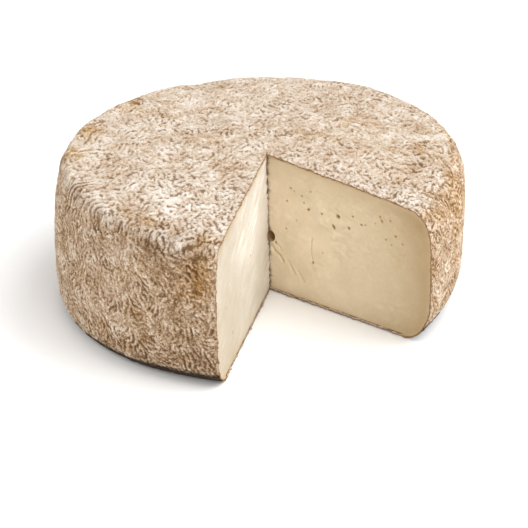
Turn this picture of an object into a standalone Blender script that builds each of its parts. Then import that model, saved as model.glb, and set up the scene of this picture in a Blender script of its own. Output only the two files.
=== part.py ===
"""A wheel of sheep milk tomme with one wedge cut out of it, in metres, +Z up.

The wheel stands on its flat base with the middle of its bounding box over the origin, and the open
notch of the missing wedge faces -Y. The wheel is one solid. Its surface is a profile carried round
the knife's point: out along the base, up the heel and the side, over the shoulder and back in along
the top. The profile changes a little with the direction, because such a wheel is shaped by hand and
by cloth.
"""

import math
import random

import bmesh
import bpy
from mathutils import Matrix, Vector

# The wheel
WHEEL_RADIUS = 0.110
SHOULDER_HEIGHT = 0.080
CROWN_HEIGHT = 0.0023
TOP_TILT = 0.0041
TOP_TILT_TOWARDS = math.radians(134)

# The plan outline leaves the circle by three slow waves: off-centre, oval and three-sided
OFF_CENTRE, OFF_CENTRE_TOWARDS = -0.022, math.radians(-19)
OVAL, OVAL_TOWARDS = 0.017, math.radians(33)
THREE_SIDED, THREE_SIDED_TOWARDS = 0.023, math.radians(33)

# The rounded shoulder at the top and the rounded heel at the base: a mean size, how much it changes
# round the wheel, and the direction in which it is largest
SHOULDER_WIDTH = (0.0127, 0.0023, math.radians(-35))
SHOULDER_DROP = (0.0363, 0.0206, math.radians(-174))
HEEL_WIDTH = (0.0127, 0.0065, math.radians(-61))
HEEL_RISE = (0.0210, 0.0090, math.radians(-50))
SHOULDER_SQUARENESS = 2.45
HEEL_SQUARENESS = 2.2

# The notch: its point lies just off the middle, and its two cut faces stand upright
KNIFE_POINT = Vector((0.0019, -0.0077))
NOTCH_ANGLE = math.radians(66)
NOTCH_TOWARDS = math.radians(-90)

# The craggy rind: broad dents and smaller crags, each a sum of waves in random directions
DENTS = {"seed": 5, "count": 14, "wavelength": 0.042, "height": 0.00050}
CRAGS = {"seed": 11, "count": 28, "wavelength": 0.0145, "height": 0.00034}

# Mesh steps
COLUMNS = 108
HEEL_ROWS, SIDE_ROWS, SHOULDER_ROWS, TOP_ROWS = 5, 6, 10, 19
TOP_ROW_CROWDING = 0.85

# Gas holes on the cut faces that can be seen from a step away: distance out from the knife's point,
# height, width and height of the hole, its depth, and its lean
CORNER_HOLE = (0.0014, 0.0333, 0.0062, 0.0056, 0.0026, 0.0)
LEADING_FACE_HOLES = (
    (0.0155, 0.0661, 0.0013, 0.0014, 0.0008, 0.0),
    (0.0228, 0.0635, 0.0012, 0.0013, 0.0007, 0.0),
    (0.0286, 0.0677, 0.0013, 0.0014, 0.0008, 0.3),
    (0.0357, 0.0567, 0.0014, 0.0013, 0.0008, 0.0),
    (0.0463, 0.0584, 0.0023, 0.0020, 0.0012, 0.3),
    (0.0433, 0.0513, 0.0015, 0.0028, 0.0011, -0.6),
    (0.0533, 0.0536, 0.0017, 0.0014, 0.0009, 0.2),
    (0.0559, 0.0612, 0.0014, 0.0013, 0.0008, 0.0),
    (0.0614, 0.0580, 0.0016, 0.0013, 0.0008, 0.2),
    (0.0744, 0.0640, 0.0014, 0.0019, 0.0009, -0.5),
    (0.0831, 0.0578, 0.0013, 0.0016, 0.0008, -0.3),
)
TRAILING_FACE_HOLES = (
    (0.0794, 0.0181, 0.0019, 0.0017, 0.0009, 0.2),
    (0.0911, 0.0389, 0.0016, 0.0015, 0.0008, 0.0),
)
HOLE_DETAIL = 2
HOLE_FACET_TURN = Matrix.Rotation(0.4, 4, Vector((1, 2, 3)))
SHARP_ANGLE = math.radians(40)

# Material slots of the wheel: the brushed, dry rind outside and the smooth paste where it is cut
RIND, PASTE = 0, 1
RIND_COLOUR, RIND_ROUGHNESS = (0.50, 0.39, 0.275, 1.0), 0.85
PASTE_COLOUR, PASTE_ROUGHNESS = (0.80, 0.69, 0.49, 1.0), 0.45


def clear_scene():
    for obj in list(bpy.data.objects):
        bpy.data.objects.remove(obj)


def swell(amount, direction):
    """A size that changes round the wheel: mean plus change times the cosine from its peak."""
    mean, change, peak = amount
    return mean + change * math.cos(direction - peak)


def outline_radius(direction):
    """Distance from the knife's point to the side of the wheel, seen from above."""
    waves = OFF_CENTRE * math.cos(direction - OFF_CENTRE_TOWARDS)
    waves += OVAL * math.cos(2 * (direction - OVAL_TOWARDS))
    waves += THREE_SIDED * math.cos(3 * (direction - THREE_SIDED_TOWARDS))
    return WHEEL_RADIUS * (1 + waves)


def top_rise(out, direction):
    """How far the top stands over the shoulder height, at a share of the way out to the side."""
    return CROWN_HEIGHT * (1 - out * out) + TOP_TILT * out * math.cos(direction - TOP_TILT_TOWARDS)


def random_waves(seed, count, wavelength, height):
    """Wave vectors of about one wavelength in random directions, with a phase and a height each."""
    draw = random.Random(seed)
    waves = []
    for _ in range(count):
        up = draw.uniform(-1, 1)
        turn = draw.uniform(0, math.tau)
        flat = math.sqrt(1 - up * up)
        number = math.tau / (wavelength * draw.uniform(0.75, 1.35))
        vector = Vector((flat * math.cos(turn), flat * math.sin(turn), up)) * number
        waves.append((vector, draw.uniform(0, math.tau), height * math.sqrt(2 / count)))
    return waves


def relief(point, waves):
    """Height of the craggy rind over its plain profile at a point."""
    return sum(height * math.cos(vector.dot(point) + phase) for vector, phase, height in waves)


def profile(direction):
    """Points (out, up) of the rind in one direction, from the rim of the flat base in to the top. The
    heel and the shoulder are quarter superellipses, and the side between them is upright."""
    radius = outline_radius(direction)
    heel_width, heel_rise = swell(HEEL_WIDTH, direction), swell(HEEL_RISE, direction)
    shoulder_width, drop = swell(SHOULDER_WIDTH, direction), swell(SHOULDER_DROP, direction)
    points = []
    for row in range(HEEL_ROWS + 1):
        turn = math.pi / 2 * row / HEEL_ROWS
        out = radius - heel_width * (1 - math.sin(turn) ** (2 / HEEL_SQUARENESS))
        points.append((out, heel_rise * (1 - math.cos(turn) ** (2 / HEEL_SQUARENESS))))
    side_top = SHOULDER_HEIGHT - drop
    for row in range(1, SIDE_ROWS):
        share = row / SIDE_ROWS
        points.append((radius, heel_rise + share * (side_top - heel_rise)))
    for row in range(SHOULDER_ROWS + 1):
        turn = math.pi / 2 * row / SHOULDER_ROWS
        rounding = math.sin(turn) ** (2 / SHOULDER_SQUARENESS)
        out = radius - shoulder_width * (1 - math.cos(turn) ** (2 / SHOULDER_SQUARENESS))
        points.append((out, side_top + rounding * (drop + top_rise(out / radius, direction))))
    edge = (radius - shoulder_width) / radius
    for row in range(1, TOP_ROWS):
        out = edge * (1 - row / TOP_ROWS) ** TOP_ROW_CROWDING
        points.append((out * radius, SHOULDER_HEIGHT + top_rise(out, direction)))
    return points


def outward(points, row):
    """Normal of a profile at one of its points, square to the line between its neighbours."""
    before, after = points[max(row - 1, 0)], points[min(row + 1, len(points) - 1)]
    return Vector((after[1] - before[1], before[0] - after[0])).normalized()


def place(direction, out, up):
    """The point at that distance out from the knife's point and that height."""
    x = KNIFE_POINT.x + out * math.cos(direction)
    y = KNIFE_POINT.y + out * math.sin(direction)
    return Vector((x, y, up))


def rind_column(mesh, direction, waves):
    """One column of rind vertices. The relief moves them in the column's own plane only, so that the
    cut faces stay flat, and it fades to nothing at the flat base."""
    points = profile(direction)
    column = []
    for row, (out, up) in enumerate(points):
        normal = outward(points, row)
        height = relief(place(direction, out, up), waves) * min(1.0, row / HEEL_ROWS)
        column.append(mesh.verts.new(place(direction, out + normal.x * height, up + normal.y * height)))
    return column


def make_wheel(materials):
    """The wheel with its notch, before the gas holes are sunk into its cut faces."""
    mesh = bmesh.new()
    waves = random_waves(**DENTS) + random_waves(**CRAGS)
    first = NOTCH_TOWARDS + NOTCH_ANGLE / 2
    step = (math.tau - NOTCH_ANGLE) / COLUMNS
    columns = [rind_column(mesh, first + step * index, waves) for index in range(COLUMNS + 1)]
    summit = place(0, 0, SHOULDER_HEIGHT + CROWN_HEIGHT)
    top_point = mesh.verts.new(summit + Vector((0, 0, relief(summit, waves))))
    base_point = mesh.verts.new(place(0, 0, 0))
    for before, after in zip(columns, columns[1:]):
        for row in range(len(before) - 1):
            mesh.faces.new((before[row], after[row], after[row + 1], before[row + 1]))
        mesh.faces.new((before[-1], after[-1], top_point))
    mesh.faces.new([base_point] + [column[0] for column in reversed(columns)])
    leading_face = mesh.faces.new([base_point] + columns[0] + [top_point])
    trailing_face = mesh.faces.new([top_point] + columns[-1][::-1] + [base_point])
    leading_face.material_index = trailing_face.material_index = PASTE
    bmesh.ops.recalc_face_normals(mesh, faces=mesh.faces)
    data = bpy.data.meshes.new("tomme")
    mesh.to_mesh(data)
    mesh.free()
    for material in materials:
        data.materials.append(material)
    data.shade_smooth()
    data.set_sharp_from_angle(angle=SHARP_ANGLE)
    wheel = bpy.data.objects.new("tomme", data)
    bpy.context.collection.objects.link(wheel)
    return wheel


def add_hole(mesh, direction, out, up, width, height, depth, lean):
    """A flattened ball sunk into the upright cut face that runs out in that direction."""
    along = Vector((math.cos(direction), math.sin(direction), 0))
    across = Vector((0, 0, 1)).cross(along)
    face_axes = Matrix((along, across, Vector((0, 0, 1)))).transposed().to_4x4()
    size = Matrix.Diagonal((width / 2, depth, height / 2, 1))
    turned = face_axes @ Matrix.Rotation(lean, 4, "Y") @ size
    middle = Matrix.Translation(place(direction, out, up))
    ball = middle @ turned @ HOLE_FACET_TURN
    bmesh.ops.create_icosphere(mesh, subdivisions=HOLE_DETAIL, radius=1, matrix=ball)


def sink_holes(wheel):
    """Cuts the gas holes out of the two faces of the notch."""
    leading = NOTCH_TOWARDS + NOTCH_ANGLE / 2
    trailing = NOTCH_TOWARDS - NOTCH_ANGLE / 2
    mesh = bmesh.new()
    add_hole(mesh, leading, *CORNER_HOLE)
    for hole in LEADING_FACE_HOLES:
        add_hole(mesh, leading, *hole)
    for hole in TRAILING_FACE_HOLES:
        add_hole(mesh, trailing, *hole)
    for face in mesh.faces:
        face.material_index = PASTE
    data = bpy.data.meshes.new("gas_holes")
    mesh.to_mesh(data)
    mesh.free()
    for material in wheel.data.materials:
        data.materials.append(material)
    holes = bpy.data.objects.new("gas_holes", data)
    bpy.context.collection.objects.link(holes)
    holes.hide_render = True
    holes.display_type = "WIRE"
    cut = wheel.modifiers.new("gas holes", "BOOLEAN")
    cut.operation = "DIFFERENCE"
    cut.object = holes


def make_material(name, colour, roughness):
    material = bpy.data.materials.new(name)
    material.use_nodes = True
    shader = material.node_tree.nodes["Principled BSDF"]
    shader.inputs["Base Color"].default_value = colour
    shader.inputs["Roughness"].default_value = roughness
    shader.inputs["Metallic"].default_value = 0.0
    return material


def main():
    clear_scene()
    rind = make_material("rind", RIND_COLOUR, RIND_ROUGHNESS)
    paste = make_material("paste", PASTE_COLOUR, PASTE_ROUGHNESS)
    wheel = make_wheel([rind, paste])
    sink_holes(wheel)


main()
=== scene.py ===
"""The looks of a wheel of sheep milk tomme with one wedge cut out of it, laid over its solid.

The wrinkled rind is a thin closed shell in pieces: the side, the top and the base. The paste is one body
inside them, and its two cut faces show in the notch. Every surface is a function of a direction round the
knife's point and of a distance along the wheel's profile, worked out as whole arrays.
"""

import collections
import functools
import math
import random

import bpy
import numpy as np
from bpy.props import FloatProperty, FloatVectorProperty, PointerProperty
from mathutils import Matrix, Vector


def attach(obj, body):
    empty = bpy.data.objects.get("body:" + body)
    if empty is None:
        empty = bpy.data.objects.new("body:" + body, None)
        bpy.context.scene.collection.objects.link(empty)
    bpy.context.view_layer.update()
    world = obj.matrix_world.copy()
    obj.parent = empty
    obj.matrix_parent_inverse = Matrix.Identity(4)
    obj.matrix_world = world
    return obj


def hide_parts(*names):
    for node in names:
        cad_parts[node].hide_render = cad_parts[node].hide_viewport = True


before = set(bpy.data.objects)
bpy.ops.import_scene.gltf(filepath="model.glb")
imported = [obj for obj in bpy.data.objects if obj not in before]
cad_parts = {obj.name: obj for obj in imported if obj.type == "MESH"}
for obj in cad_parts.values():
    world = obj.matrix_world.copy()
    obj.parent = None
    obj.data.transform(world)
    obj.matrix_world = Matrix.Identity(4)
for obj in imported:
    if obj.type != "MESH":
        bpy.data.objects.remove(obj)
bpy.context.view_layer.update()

bl_info = {
    "name": "Sheep milk tomme",
    "version": (1, 0, 0),
    "blender": (4, 5, 0),
    "location": "3D View > Sidebar > Tomme",
    "description": "Builds the rind, the paste and the stage of a cut wheel of sheep milk tomme",
    "category": "Add Mesh",
}

NODE = "tomme"

# The wheel's plain form, as in its solid: radius, heights, and the tilt of the top
WHEEL_RADIUS = 0.110
SHOULDER_HEIGHT = 0.080
CROWN_HEIGHT = 0.0023
TOP_TILT, TOP_TILT_TOWARDS = 0.0041, math.radians(134)

# The plan outline leaves the circle by three slow waves: off-centre, oval and three-sided
OFF_CENTRE, OFF_CENTRE_TOWARDS = -0.022, math.radians(-19)
OVAL, OVAL_TOWARDS = 0.017, math.radians(33)
THREE_SIDED, THREE_SIDED_TOWARDS = 0.023, math.radians(33)

# Shoulder and heel: a mean size, how much it changes round the wheel, and where it is largest
SHOULDER_WIDTH = (0.0127, 0.0023, math.radians(-35))
SHOULDER_DROP = (0.0363, 0.0206, math.radians(-174))
HEEL_WIDTH = (0.0127, 0.0065, math.radians(-61))
HEEL_RISE = (0.0210, 0.0090, math.radians(-50))
SHOULDER_SQUARENESS = 2.45
HEEL_SQUARENESS = 2.2

# The notch
KNIFE_POINT = np.array([0.0019, -0.0077])
NOTCH_ANGLE = math.radians(66)
NOTCH_TOWARDS = math.radians(-90)
LEADING = NOTCH_TOWARDS + NOTCH_ANGLE / 2
TRAILING = NOTCH_TOWARDS - NOTCH_ANGLE / 2
WHEEL_ANGLE = math.tau - NOTCH_ANGLE

# Broad relief: seed, number of waves, wavelength and height of the solid's dents and crags, how much of
# each the rind keeps, and how much calmer it is beside the cuts
DENTS = (5, 14, 0.042, 0.00050)
CRAGS = (11, 28, 0.0145, 0.00034)
DENT_SHARE, CRAG_SHARE = 0.75, 0.45
CUT_CALM, CUT_CALM_REACH = 0.65, 0.007

# Mesh counts. A piece's hidden inner side has one step for every 16 round the wheel and every 8 along
# the profile.
SIDE_PIECES, SIDE_COLUMNS, SIDE_ROWS = 4, 336, 240
TOP_PIECES, TOP_COLUMNS, TOP_ROWS = 3, 448, 232
BASE_COLUMNS, BASE_ROWS = 1344, 120
HIDDEN_COLUMN_STEP, HIDDEN_ROW_STEP = 16, 8
PASTE_ACROSS, PASTE_UP, PASTE_HIDDEN_COLUMNS = 256, 184, 72
PROFILE_SAMPLES = 96
EDGE_ANGLE = math.radians(70)

# Halvings of the columns towards the knife's point: the multiple of the first row's radius that they are
# counted from, and how many there are at most
TOP_HALVINGS, BASE_HALVINGS = (1, 5), (2, 6)

# Cell size of the flat fields that hold the patterns
FIELD_STEP = 0.00025

# Worm-like noise: number of directions, width of a direction's lobe, spread about the wavelength, and how
# hard blots are squeezed before they join
WORM_DIRECTIONS, WORM_LOBE_WIDTH = 6, 0.35
WORM_SPREAD, WORM_SQUEEZE = 0.65, 1.3

# The rind's wrinkles on the top and on the side: cells down and across the sheet, stretch away from the
# viewer, lean and how strongly they hold to it, how sharply ridges level off and how far they are raised
# first, depth from which a furrow is dark, tone of the ridges, strength of cracks and threads, and seed
Grain = collections.namedtuple("Grain", "shape stretch lean hold flatness shift dark ridge crack thread seed")
TOP_GRAIN = Grain((1024, 1024), 1.7, 0.0, 0.36, 1.15, 0.5, 1.0, 0.32, 1.0, 0.5, 100)
SIDE_GRAIN = Grain((480, 2304), 1.0, -1.0, 0.55, 0.9, 0.2, 1.25, 0.38, 0.95, 1.1, 200)
TOP_GRAIN_TURN = math.radians(-18.6)

# Slow fields of the rind: size of the blots, and what is added to the grain's seed
DRIFTS = {
    "turn": (0.014, 1),
    "strength": (0.009, 5),
    "thread_share": (0.006, 7),
    "blotch": (0.0075, 8),
    "fleck": (0.0032, 9),
    "cloud": (0.016, 10),
    "crack_share": (0.0028, 12),
}
TURN_AMOUNT, STRENGTH_AMOUNT = 0.75, 0.38

# Worms of the rind: widths as multiples of the wrinkles' width, turn of the cracks, size of the fine noise
# and how much of it is in threads and cracks, and shares of worms, broad worms and fine noise in a wrinkle
BROAD_WIDTH, THREAD_WIDTH, CRACK_WIDTH = 1.95, 2.1, 1.7
CRACK_TURN = 0.4
FINE_SIZE, THREAD_FINE, CRACK_FINE = 0.0011, 0.2, 0.25
WRINKLE_MIX = (0.66, 0.34, 0.42)

# Half widths of threads and cracks, as values of their fields
THREAD_LINE, CRACK_LINE = 0.23, 0.17

# How far below the top's edge the side's wrinkles start, and where they are alone
SHOULDER_MIX = (0.003, 0.016)

# How far the wrinkled skin lies under the plain form, and how much sooner than the broad relief the
# wrinkles reach their full height up the heel
SKIN_SINK, WRINKLE_FIRMNESS = 0.00025, 1.5

# The photograph's side of the wheel, where it starts and is full as a share of the radius, how strong the
# side's wrinkles are, and what is added there to those of the top, of the side and of the side's foot
FRONT = math.radians(-18.57) - math.pi / 2
NEAR_REACH = (-0.1, 0.9)
TOP_NEAR_GAIN = 0.42
SIDE_GAIN, SIDE_NEAR_GAIN = 1.30, -0.18
LOW_NEAR_GAIN, LOW_REACH = 0.48, (0.036, 0.012)

# The rind's tone: its middle, the ridge height that keeps it, and what blotches, clouds, threads and brown
# patches add
TONE_MIDDLE, TONE_RIDGE = 0.55, 0.7
BLOTCH_TONE, CLOUD_TONE, THREAD_TONE, BROWN_TONE = 0.06, 0.03, 0.28, -0.20

# Height of the wrinkles: the least, what the ridges' tone adds to it, and the ridge height that keeps the
# skin where it is
LEAST_HEIGHT, RIDGE_HEIGHT, LEVEL_RIDGE = 0.4, 1.4, 0.9

# Where each finish value of the rind starts and is full, and the weights of what feeds it
DARK_SPAN, FURROW_DASH, BROWN_DASH = 1.2, 0.6, 0.7
THREAD_REACH = (-1.0, 1.5)
CRACK_REACH, CRACK_PULL = (-0.2, 1.3), 0.4
FLAKE_REACH, FLAKE_BLOTCH, FLAKE_WHITE = (0.8, 1.8), 0.6, 1.6
LEAST_BLOOM, BROWN_BLOOM = 0.35, 0.7
OCHRE_CLOUD_REACH, OCHRE_FLECK_REACH, OCHRE_TONE_REACH = (0.3, 1.8), (-1.0, 1.2), (0.85, 0.35)
SIDE_OCHRE, TOP_OCHRE, OCHRE_FLECK = 0.40, 0.25, 2
PALE_REACH, PALE_CLOUD, PALE_WHITE = (0.62, 0.98), 0.12, 0.4

# Painted contact shade, a dark line where the side curls under towards the floor: strength, and where it
# starts and is full, as shares of the heel's width
CONTACT_SHADE_STRENGTH, CONTACT_SHADE_REACH = 0.95, (1.14, 0.88)

# Patches of the rind by kind: middle and reach in millimetres, and strength
PATCHES = {
    "ochre": (
        (-88.5, -37.7, 81.8, 7, 0.4), (-78.9, -56.3, 80.8, 8, 0.7), (-70.2, -66.5, 80.5, 6, 0.5),
        (-56.7, -83.5, 79.1, 6, 0.6), (-61.9, -92.0, 68.0, 9, 0.6), (-68.1, -91.1, 60.5, 11, 0.5),
        (-87.3, -69.4, 67.0, 9, 0.35), (62.5, -32.0, 78.7, 26, 0.3), (52.5, 2.6, 80.0, 26, 0.28),
        (88.1, -30.5, 78.0, 14, 0.35), (90.5, -56.0, 68.0, 14, 0.5), (88.0, -68.0, 50.0, 14, 0.35),
        (84.6, -70.6, 59.8, 18, 0.6), (-48.2, 75.1, 84.9, 10, 0.9), (-80.5, 51.0, 84.6, 10, 0.95),
        (-94.5, 28.0, 84.3, 10, 0.95),
    ),
    # Brown patches lower the tone and deepen the dashes. The chain along the front-left shoulder, about 80 mm
    # up, is partly dark ochre rind and partly painted shade under the top's bulging edge.
    "brown": (
        (-85.5, -44.0, 81.3, 4, 0.7), (-79.5, -52.5, 80.7, 4, 0.9), (-73.5, -62.5, 80.5, 4, 0.9),
        (-66.5, -71.5, 80.3, 4, 0.8), (-59.5, -79.5, 79.7, 4, 0.7), (-54.5, -88.7, 78.4, 5, 0.8),
        (-60.6, -93.0, 72.3, 7, 0.6), (-89.0, -57.6, 78.1, 8, 0.6), (-80.5, -71.0, 76.9, 11, 0.9),
        (-71.0, -84.0, 71.0, 11, 0.7), (-66.0, -94.0, 40.0, 26, 0.42), (-82.0, -80.5, 14.0, 17, 0.5),
        (-66.0, -94.7, 16.0, 17, 0.5), (-98.0, -55.0, 12.0, 14, 0.4), (-103.1, -7.2, 82.2, 6, 0.8),
        (81.0, -40.0, 79.0, 12, 0.5), (50.0, -60.0, 78.5, 10, 0.4), (-103.8, -9.5, 81.0, 5, 1.0),
        (-100.0, -8.0, 82.7, 4, 0.9), (90.0, -62.0, 55.0, 20, 0.12), (-44.0, 78.0, 84.9, 5, 0.8),
        (-80.5, 53.5, 84.7, 5, 0.8), (-93.8, 24.0, 84.3, 5, 0.8), (-100.5, 26.5, 80.8, 4, 1.0),
    ),
    "grey": (
        (-85.9, -66.4, 74.7, 12, 0.7), (-74.3, -79.6, 76.1, 12, 0.8), (-98.0, -38.0, 76.0, 12, 0.7),
    ),
    "bloom": (
        (-74.0, -77.5, 78.1, 4, 0.8), (-69.5, -82.5, 77.2, 4, 1.0), (-65.0, -87.5, 76.0, 4, 1.0),
        (-60.5, -90.0, 76.0, 4, 0.7), (-97.0, -34.0, 79.5, 3, 1.0), (-58.3, -54.6, 81.2, 20, 0.7),
        (-41.9, -37.1, 82.4, 17, 0.4), (-64.7, -33.0, 81.9, 17, 0.4), (-100.0, -14.0, 82.0, 10, 0.3),
        (59.7, -76.6, 76.1, 10, 0.9), (80.0, -57.0, 77.0, 6, 1.0), (74.3, -65.3, 76.1, 5, 1.0),
        (-67.6, -92.1, 14.2, 10, 0.5),
    ),
}

# Pleats that the cloth pressed into the shoulder: middle of the arcs, direction that they open towards,
# wavelength, depth, what the band adds to it, and how much of the worms is left. They fill a fan and a
# band: strength, start and end of the inner edge, of the outer edge and of how well they face the direction
PLEAT_MIDDLE = np.array([-0.0975, -0.0365, 0.0785])
PLEAT_TOWARDS = np.array([-0.3, 0.85, 0.35])
PLEAT_WAVELENGTH, PLEAT_DEPTH, BAND_DEPTH, PLEAT_WORM = 0.0033, 1.4, 2.2, 0.4
PLEATS = (
    (0.8, (0.003, 0.005), (0.014, 0.010), (0.1, 0.6)),
    (1.0, (0.024, 0.027), (0.035, 0.032), (0.78, 0.90)),
)

# Share of a polar sheet's radius over which its relief fades
POLAR_FADE = 0.05

# Cut edges of the rind: how far they stand proud of the knife's plane and how ragged that is, how dark they
# are and how ragged that is, and the step along the ragged lines and the size of their teeth
RIM_PROUD, RIM_RAGGED = 0.00010, 0.00038
RIM_DARK, RIM_DARK_RAGGED = 0.35, 0.4
RAGGED_STEP, RAGGED_SIZE = 0.0004, 0.0011
# The two edges of a sheet: column, which way the cut faces, and the seeds of both ragged lines
EDGES = ((0, -1, 31, 57), (-1, 1, 37, 63))
# The brown line just under an edge, at the rind and at the base: depth, cut value and tone, then its
# seeds and how much its depth wanders
RIND_RIM, BASE_RIM = (0.00045, 1.0, 0.4), (0.0012, 0.0, 0.75)
RIM_SEEDS, POLAR_RIM_SEEDS = (61, 62), (70, 71)
RIM_WANDER, RIM_WANDER_MOST = 0.4, 1.5

# How deep the paste lies under the rind's outside, as a share of the rind's thickness: at a cut, hidden
PASTE_TUCK, HIDDEN_TUCK = 0.9, 1.1

# Gas holes in the cut faces, and the three lobes of the torn hole at the knife's line: distance out from
# the knife's point, height, width, height and depth of the hole, and lean, in millimetres and radians
CORNER_HOLES = (
    (1.1, 33.4, 6.4, 6.8, 2.8, 0.2),
    (4.6, 30.4, 1.7, 2.0, 1.0, 0.0),
    (-0.4, 38.9, 1.6, 2.6, 1.0, 0.0),
)
LEADING_HOLES = (
    (15.5, 66.1, 1.5, 1.5, 0.9, 0.0), (17.8, 64.9, 1.1, 1.1, 0.7, 0.0), (22.8, 63.5, 1.5, 1.5, 0.9, 0.0),
    (28.6, 67.7, 1.3, 1.3, 0.8, 0.3), (12.8, 57.8, 1.5, 1.4, 0.9, 0.0), (24.1, 59.9, 1.3, 1.4, 0.8, 0.0),
    (27.0, 56.7, 2.6, 1.6, 1.0, -0.5), (35.7, 56.7, 1.8, 1.5, 0.9, 0.0), (46.3, 58.4, 3.0, 2.6, 1.5, 0.3),
    (43.3, 51.3, 2.0, 3.6, 1.3, -0.6), (53.3, 53.6, 2.2, 2.0, 1.1, 0.4), (55.9, 61.2, 1.6, 1.5, 0.9, 0.0),
    (61.4, 58.0, 2.2, 1.5, 0.9, 0.2), (64.0, 58.6, 1.3, 1.3, 0.8, 0.0), (74.4, 64.0, 1.5, 2.6, 1.0, -0.7),
    (73.2, 66.2, 1.3, 1.9, 0.8, -0.6), (79.9, 65.8, 1.4, 1.4, 0.8, 0.0), (70.3, 61.5, 1.1, 1.2, 0.7, 0.0),
    (11.8, 40.9, 1.3, 1.3, 0.8, 0.0), (83.1, 57.8, 1.5, 1.8, 0.9, -0.3), (77.0, 54.0, 1.3, 1.4, 0.8, 0.0),
    (87.4, 54.5, 1.4, 1.3, 0.8, 0.0), (80.5, 52.0, 1.2, 1.1, 0.7, 0.0), (29.5, 25.6, 1.7, 1.9, 1.0, 0.2),
    (36.0, 33.5, 1.1, 1.1, 0.7, 0.0), (19.0, 48.0, 1.0, 1.0, 0.6, 0.0),
)
TRAILING_HOLES = (
    (79.4, 18.1, 2.2, 1.9, 1.0, 0.2), (91.1, 38.9, 1.8, 1.6, 0.9, 0.0), (60.0, 30.0, 1.4, 1.2, 0.7, 0.0),
    (38.3, 41.0, 2.6, 1.2, 0.7, 0.3),
)

# Cracks and knife marks in the leading face: width, depth and the ends of their straight stretches, in
# millimetres
CRACKS = (
    (0.55, 0.45, ((29.0, 40.0), (28.2, 33.0), (29.4, 26.0))),
    (1.00, 1.00, ((2.0, 28.0), (4.0, 24.8), (7.2, 23.4), (9.4, 20.6))),
    (0.60, 0.50, ((5.0, 30.0), (7.6, 28.5), (8.2, 26.5))),
    (0.90, 0.60, ((13.0, 21.5), (17.0, 15.0))),
    (0.90, 0.50, ((19.5, 17.5), (23.0, 12.5))),
)
# Height of the lips beside a crack, and the depth at which its painted shade is full
CRACK_LIP, CRACK_FULL_DEPTH = 0.7, 0.0006

# A cut face: its direction, holes, cracks and seed, stretch and slant of the knife's smears, strength of
# its relief and of its smears, painted warm shade, painted light towards the knife's line, tint under the
# rind, and the rust's reach, strength and mottling. Shade is painted shade together with the paste's own
# darkening towards the rind: a base, plus fades from the rim, the top, the base or the knife's line
# (strength, reach and power), plus steps (strength, start and end). A fade of negative strength paints light.
Face = collections.namedtuple(
    "Face", "direction holes cracks seed drawn slant relief smear warm pale under_rind rust shade fades steps"
)
LEADING_FACE = Face(
    direction=LEADING,
    holes=LEADING_HOLES,
    cracks=CRACKS,
    seed=300,
    drawn=1.5,
    slant=0.0,
    relief=0.55,
    smear=0.5,
    warm=1.0,
    pale=7.0,
    under_rind=1.0,
    rust=(0.0006, 1.0, 0.0),
    shade=0.0,
    fades=(("rim", 1.0, 0.028, 1.3), ("top", 0.40, 0.016, 1), ("base", 0.4, 0.006, 1)),
    steps=(),
)
TRAILING_FACE = Face(
    direction=TRAILING,
    holes=TRAILING_HOLES,
    cracks=(),
    seed=400,
    drawn=5.0,
    slant=0.45,
    relief=1.35,
    smear=1.0,
    warm=0.0,
    pale=8.0,
    under_rind=0.6,
    rust=(0.0018, 0.8, 0.35),
    shade=0.04,
    fades=(("base", 0.3, 0.009, 1), ("top", 0.25, 0.010, 1), ("knife", -0.10, 0.025, 1)),
    steps=(("base", 0.22, 0.060, 0.030), ("knife", 0.33, 0.045, 0.088)),
)

# Fields of a cut face: cells, sizes of the smears, the grain, the blots and the smears' strength, distance
# over which its relief fades at the edges, how much further the base counts as, how much grain is in the
# relief, and the smears' mean strength, its change and its limits
FACE_FIELD = (400, 500)
FACE_DRIFTS = (0.0030, 0.0012, 0.011, 0.020)
FACE_EDGE, BASE_EDGE, FACE_GRAIN = 0.002, 1.6, 0.35
SMEAR_MEAN, SMEAR_CHANGE, SMEAR_LIMITS = 0.8, 0.6, (0.1, 2.2)

# The torn nick along the knife's line: strength, squeeze and seed of its two ragged lines, its mean and
# limits, its least width and what the tearing adds, the same of its darkness and the most of it, and how
# far the line itself wanders, its reach and its seed. Its darkness is partly a brown torn line and partly
# painted shade in the crevice where the cut faces meet.
NICK_LINES = ((0.3, 1.3, 83), (0.6, 0.35, 87))
NICK_MEAN, NICK_LIMITS = 0.85, (0.1, 2.4)
NICK_WIDTH, NICK_TORN_WIDTH = 0.0004, 0.0006
NICK_DARK, NICK_TORN_DARK, NICK_DARKEST = 0.55, 0.35, 0.97
WANDER, WANDER_REACH, WANDER_SEED = 0.00022, 0.0012, 85

# Painted shade inside the torn hole: how dark it is in each face, and from where to where it darkens in the
# leading one
CORNER_HOLE_SHADE, CORNER_SHADE_REACH, CORNER_SHADE_SLANT = (0.9, 0.8), (0.0046, 0.0006), 0.3

# Reach of the painted light that makes the paste paler towards the knife's line, lifting the notch's shade,
# and of the tint under the rind, and strength, place and reach of a painted pool of light on the cut faces
PAINTED_LIGHT_KNIFE_REACH, UNDER_RIND_REACH = 0.020, 0.0028
PAINTED_LIGHT, PAINTED_LIGHT_OUT, PAINTED_LIGHT_UP, PAINTED_LIGHT_REACH = 4.0, 0.034, 0.040, 0.020

# Noise of the finishes: size of the blots, detail and roughness. Bump: distance and strength.
RIND_NOISE, RIND_BUMP_NOISE = (0.0009, 3.0, 0.68), (0.0008, 3.0, 0.65)
MOTTLE_NOISE, FLECK_NOISE, PASTE_BUMP_NOISE = (0.005, 4.0, 0.62), (0.0013, 3.0, 0.6), (0.0022, 4.0, 0.6)
FLOOR_NOISE = (0.35, 2.0, 0.5)
BUMP = (0.0001, 0.4)

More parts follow.
